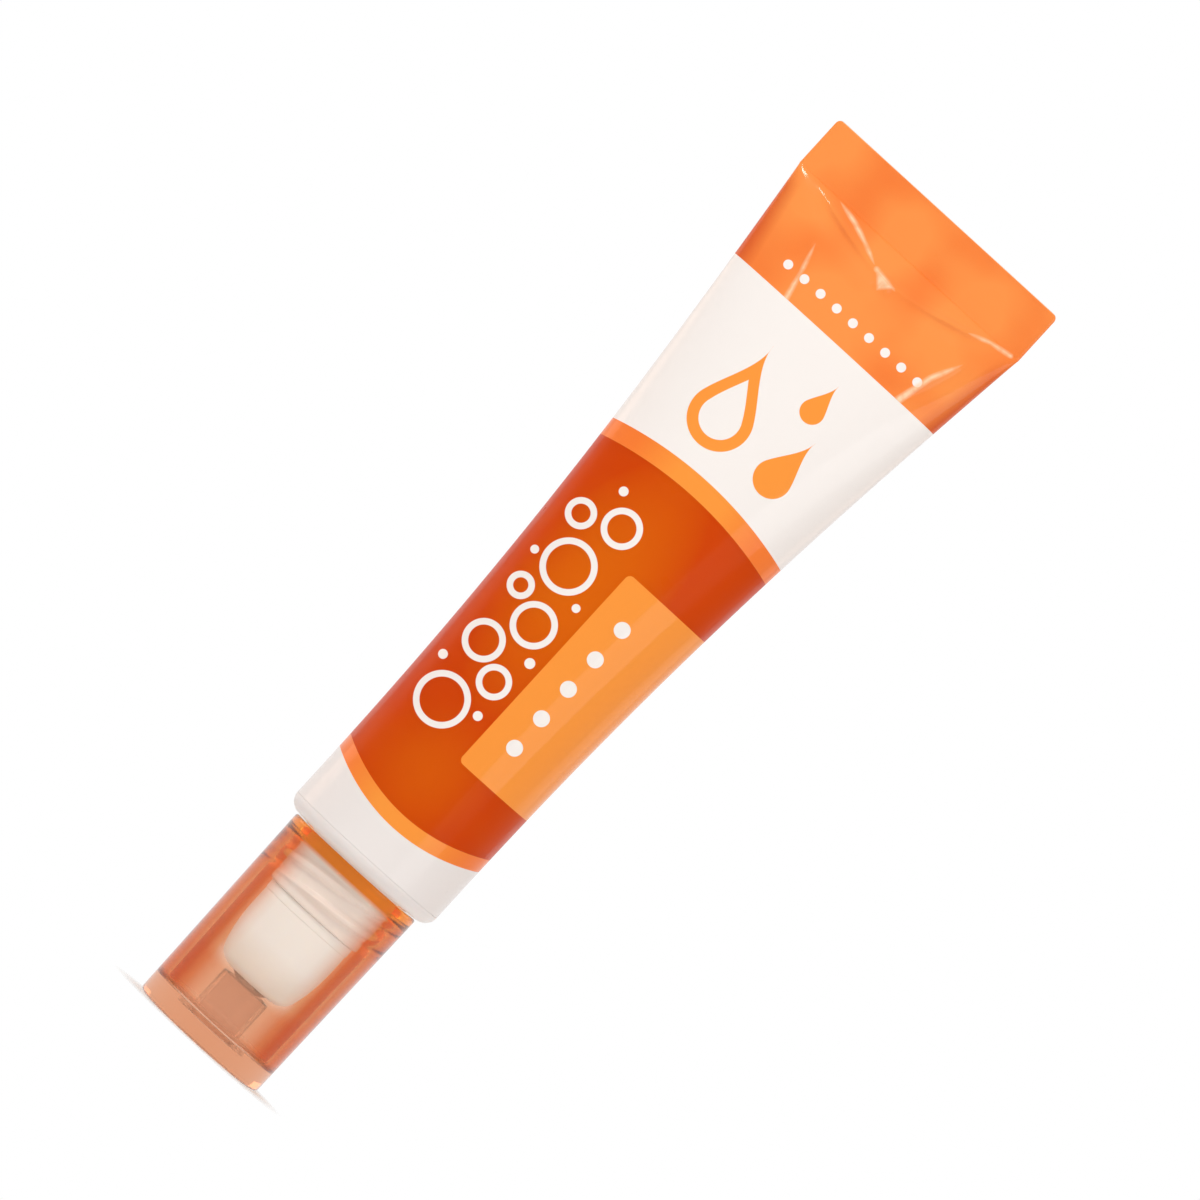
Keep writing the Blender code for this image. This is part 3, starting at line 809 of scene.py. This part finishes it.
# The cap is painted warmer and darker towards its closed end, a little below 11 mm and more below 8 mm.
colour = colour.painted(CAP_LOWER_TINT, (z - 11.0).inside(3.0))
colour = colour.painted(CAP_BASE, (z - 8.0).inside(1.4))
colour = colour.painted(wall, ((slant - 0.1) / 0.22).clamped())
colour = colour.painted(WALL_EDGE, ((slant - 0.35) / 0.2).clamped())
colour = colour.painted(CAP_DISC, (z - 2.6).inside(0.3))
colour = colour.painted(CAP_MOUTH, 1.0 - (z - 22.25).inside(0.5))
handling = (places.noise(260.0, 5.0) - 0.45).clamped() * 0.15
in_bore = ((x**2.0 + y**2.0) ** 0.5 - 7.2).inside(0.2)
thread_marks = (abs(z - 19.7) - 2.6).inside(1.0) * 0.1
base_marks = (abs(z - 2.4) - 0.8).inside(0.3) * 0.3
dress(clear_shader, {
    "Base Color": colour,
    "Transmission Weight": 0.94,
    "IOR": 1.49,
    "Specular Tint": (1.0, 0.70, 0.48, 1.0),
    "Roughness": handling + in_bore * (thread_marks + base_marks) + 0.015,
    "Normal": places.noise(130.0, 1.0).bump(0.3, 0.08 * MM),
})
let_through(clear_plastic, clear_shader, (1.0, 0.99, 0.98), "Is Diffuse Ray", "Is Shadow Ray")
densest = max(SOAKS_UP)
soak_tint = tuple(1.0 - part / densest for part in SOAKS_UP)
soak = places.node("VolumeAbsorption", {}, {"Color": soak_tint, "Density": densest})
cap_output = clear_plastic.node_tree.nodes["Material Output"]
clear_plastic.node_tree.links.new(soak.socket, cap_output.inputs["Volume"])
cap_mesh.materials.append(clear_plastic)
add_piece(cap_mesh, "cap", "cap_clear", "cap_shell")

# The plug is a small cup in soft, milky plastic, pressed into the cap's end. Its round rim closes
# on the housing's tip, round the ball.
PLUG_RADIUS = plug_high.x
PLUG_WALL = 0.5 * MM
PLUG_BASE_Z = plug_low.z + 0.6 * MM
PLUG_BEVEL = 0.1 * MM
PLUG_RIM_Z = plug_high.z - 0.35 * MM
plug_bore = PLUG_RADIUS - PLUG_WALL
rim_round = PLUG_WALL / 2
profile = [(0.0, PLUG_BASE_Z), (plug_bore - PLUG_BEVEL, PLUG_BASE_Z), (plug_bore, PLUG_BASE_Z + PLUG_BEVEL)]
profile += arc(plug_bore + rim_round, PLUG_RIM_Z - rim_round, rim_round, 180, 0, 12)
profile += [(PLUG_RADIUS, plug_low.z + PLUG_BEVEL), (PLUG_RADIUS - PLUG_BEVEL, plug_low.z), (0.0, plug_low.z)]
plug_mesh = turned("sealing_plug", profile, steps=96, closed=False)

MILKY = (0.93, 0.85, 0.82)
MILKY_SHADE = (0.88, 0.80, 0.76)
milky_plastic, milky_shader, places = new_material("milky_plastic")
cloud = places.noise(420.0, 3.0)
dress(milky_shader, {
    "Base Color": places.flat(MILKY).painted(MILKY_SHADE, cloud * 0.6),
    "Roughness": cloud * 0.1 + 0.05,
    "Transmission Weight": 0.9,
    "IOR": 1.46,
})
let_through(milky_plastic, milky_shader, (0.99, 0.96, 0.93), "Is Shadow Ray")
plug_mesh.materials.append(milky_plastic)
add_piece(plug_mesh, "cap_seal", "plug_plastic", "cap_plug")

# The oil fills the tube from the head up to its level, with air left under the weld. It is a thin
# clear oil, deep orange through the window in the print.
oil_low, oil_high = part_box("oil_fill")
OIL_FIT = 0.03 * MM
OIL_CORNER = 1.5 * MM
OIL_CORNER_HEIGHT = 1.7 * MM
in_head = SKIRT_BORE - OIL_FIT
skirt_top = head_high.z + OIL_FIT
rings = []
for share in np.linspace(0.0, 1.0, 8):
    radius = in_head - OIL_CORNER * (1 - share)
    rings.append((*film_ring(radius, radius, ROUND), oil_low.z + OIL_CORNER_HEIGHT * share))
rings.append((*film_ring(in_head, in_head, ROUND), skirt_top))
inset = FILM + OIL_FIT
for z in np.linspace(skirt_top + 0.02 * MM, oil_high.z, 70):
    width, depth, squareness = film_section(z)
    rings.append((*film_ring(width - inset, depth - inset, squareness), z))
oil_mesh = film_mesh("oil", rings)

DEEP_OIL = (0.70, 0.075, 0.0012)
OIL_PAINTED_LIGHT = (0.95, 0.22, 0.005)
OIL_PAINTED_GLOW = (0.95, 0.26, 0.008)
oil, oil_shader, places = new_material("orange_oil")
# The oil is painted lighter round the middle of the window and in random spots: painted glow.
middle = (1.0 - abs(places.in_mm("Z") - 60.0) / 18.0).clamped()
colour = places.flat(DEEP_OIL).painted(OIL_PAINTED_LIGHT, middle * 0.7)
colour = colour.painted(OIL_PAINTED_GLOW, (places.noise(35.0, 2.0) - 0.45).clamped() * 1.2)
dress(oil_shader, {
    "Base Color": colour,
    "Roughness": 0.12,
    "IOR": 1.47,
    "Specular IOR Level": 0.05,
})
oil_mesh.materials.append(oil)
add_piece(oil_mesh, "tube", "oil", "oil_fill")

# The tube stands on a plain pale floor in a white studio. The floor is matt near the tube, where
# it takes the shadow. Further out the camera sees past it, to the white of the studio.
FLOOR_RADIUS = 3.0
FLOOR_SIDES = 96
FLOOR_Z = -0.02 * MM
FLOOR_SEEN_TO = 8.2
FLOOR_FADE = 3.2
PAPER = (0.92, 0.92, 0.92, 1.0)
WHITE = (1.0, 1.0, 1.0, 1.0)
circle = []
for angle in np.arange(FLOOR_SIDES) / FLOOR_SIDES * math.tau:
    circle.append((FLOOR_RADIUS * math.cos(angle), FLOOR_RADIUS * math.sin(angle), FLOOR_Z))
floor_mesh = bpy.data.meshes.new("studio_floor")
floor_mesh.from_pydata(circle, [], [tuple(range(FLOOR_SIDES))])
floor = bpy.data.objects.new("studio_floor", floor_mesh)
bpy.context.scene.collection.objects.link(floor)
paper, paper_shader, places = new_material("floor_paper")
dress(paper_shader, {"Base Color": PAPER, "Roughness": 0.9, "Specular IOR Level": 0.0})
from_middle = (places.in_mm("X") ** 2.0 + places.in_mm("Y") ** 2.0) ** 0.5
away = ((from_middle - FLOOR_SEEN_TO) / FLOOR_FADE).clamped()
white = places.node("Emission", {}, {"Color": WHITE, "Strength": 1.0})
clear = places.node("BsdfTransparent", {}, {"Color": WHITE})
in_glass = light_kinds(places, "Is Glossy Ray", "Is Transmission Ray")
seen_past = light_kinds(places, "Is Camera Ray") * away
surface = Socket(paper.node_tree, paper_shader.outputs[0])
surface = places.node("MixShader", {}, {0: in_glass, 1: surface, 2: white})
surface = places.node("MixShader", {}, {0: seen_past, 1: surface, 2: clear})
set_surface(paper, surface)
floor_mesh.materials.append(paper)

WORLD_LIGHT = 0.52
world = bpy.data.worlds.new("white_studio")
world.use_nodes = True
bpy.context.scene.world = world
shown = light_kinds(Socket(world.node_tree), "Is Camera Ray", "Is Glossy Ray", "Is Transmission Ray")
background = world.node_tree.nodes["Background"]
dress(background, {"Color": WHITE, "Strength": shown * (1.0 - WORLD_LIGHT) + WORLD_LIGHT})

LAMPS_AIM_AT = Vector((0.0, 0.0, 56.0 * MM))
WARM = (1.0, 0.66, 0.48)


def soft_lamp(name, place, width, height, watts, colour=(1.0, 1.0, 1.0)):
    """An area lamp that faces the middle of the tube."""
    lamp = bpy.data.lights.new(name, "AREA")
    lamp.shape = "RECTANGLE"
    lamp.size = width
    lamp.size_y = height
    lamp.energy = watts
    lamp.color = colour
    holder = bpy.data.objects.new(name, lamp)
    holder.location = place
    holder.rotation_mode = "QUATERNION"
    holder.rotation_quaternion = (LAMPS_AIM_AT - Vector(place)).to_track_quat("-Z", "Y")
    bpy.context.scene.collection.objects.link(holder)


soft_lamp("key_lamp", (-0.22, -0.45, 0.62), 0.16, 0.16, 2.3)
soft_lamp("fill_lamp", (0.60, -0.45, 0.10), 0.40, 0.60, 1.3)
soft_lamp("left_back_lamp", (-0.60, 0.30, 0.20), 0.30, 0.60, 0.9, WARM)
soft_lamp("right_back_lamp", (0.60, 0.35, 0.30), 0.30, 0.60, 0.6, WARM)

# The camera looks level along +Y at the printed front, and is rolled so that the tube lies from
# the lower left of the picture to the upper right.
PICTURE_WIDTH = 0.1212
CAMERA_DISTANCE = 1.2
CAMERA_HEIGHT = 0.06025
SENSOR_WIDTH = 36.0
ROLL_COS = 0.7381
ROLL_SIN = 0.6744
camera_data = bpy.data.cameras.new("camera")
camera_data.sensor_width = SENSOR_WIDTH
camera_data.lens = SENSOR_WIDTH * CAMERA_DISTANCE / PICTURE_WIDTH
camera_data.clip_start = 0.05
camera_data.clip_end = 20.0
camera = bpy.data.objects.new("camera", camera_data)
right = Vector((ROLL_COS, 0.0, ROLL_SIN))
up = Vector((-ROLL_SIN, 0.0, ROLL_COS))
towards = Vector((0.0, -1.0, 0.0))
place = Matrix.Translation((0.0, -CAMERA_DISTANCE, CAMERA_HEIGHT))
camera.matrix_world = place @ Matrix((right, up, towards)).transposed().to_4x4()
bpy.context.scene.collection.objects.link(camera)
bpy.context.scene.camera = camera
bpy.context.scene.view_settings.view_transform = "Standard"
